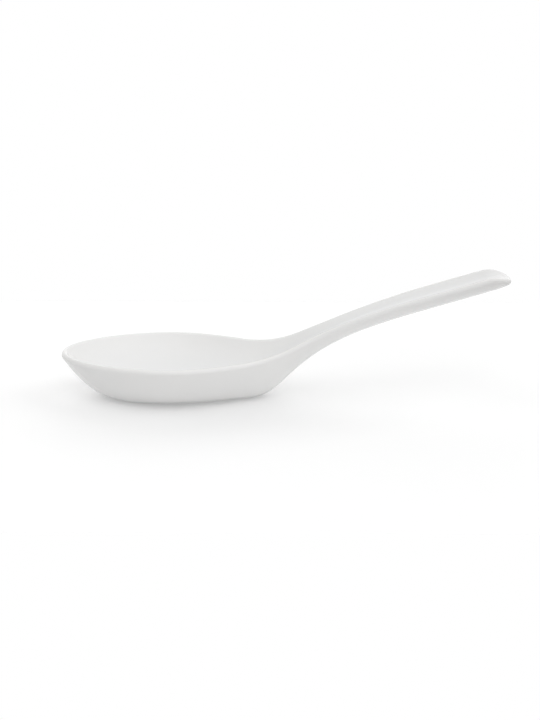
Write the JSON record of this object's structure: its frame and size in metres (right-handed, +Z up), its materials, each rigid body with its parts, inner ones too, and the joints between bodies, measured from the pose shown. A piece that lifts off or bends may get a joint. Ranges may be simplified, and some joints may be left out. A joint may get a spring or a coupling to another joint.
{
  "type": "porcelain soup spoon",
  "caption": "White glazed porcelain soup spoon with a flat-footed oval bowl that stands by itself and a rising, shallow-grooved handle with a rounded tip, for ladling and sipping soup.",
  "frame": {"origin": "centre of the spoon's length and width, on the plane that the foot ring stands on", "axes": "+X from the nose of the bowl towards the tip of the handle, +Z up, Y across the spoon, which is symmetric in Y"},
  "size_m": [0.14, 0.0464, 0.0397],
  "materials": {
    "biscuit": "bare fired porcelain, fine matt grain",
    "glaze": "clear gloss glaze on white porcelain"
  },
  "bodies": {
    "root": {"porcelain_body": "biscuit", "glaze_coat": "glaze", "foot_well_glaze": "glaze"}
  },
  "joints": []
}
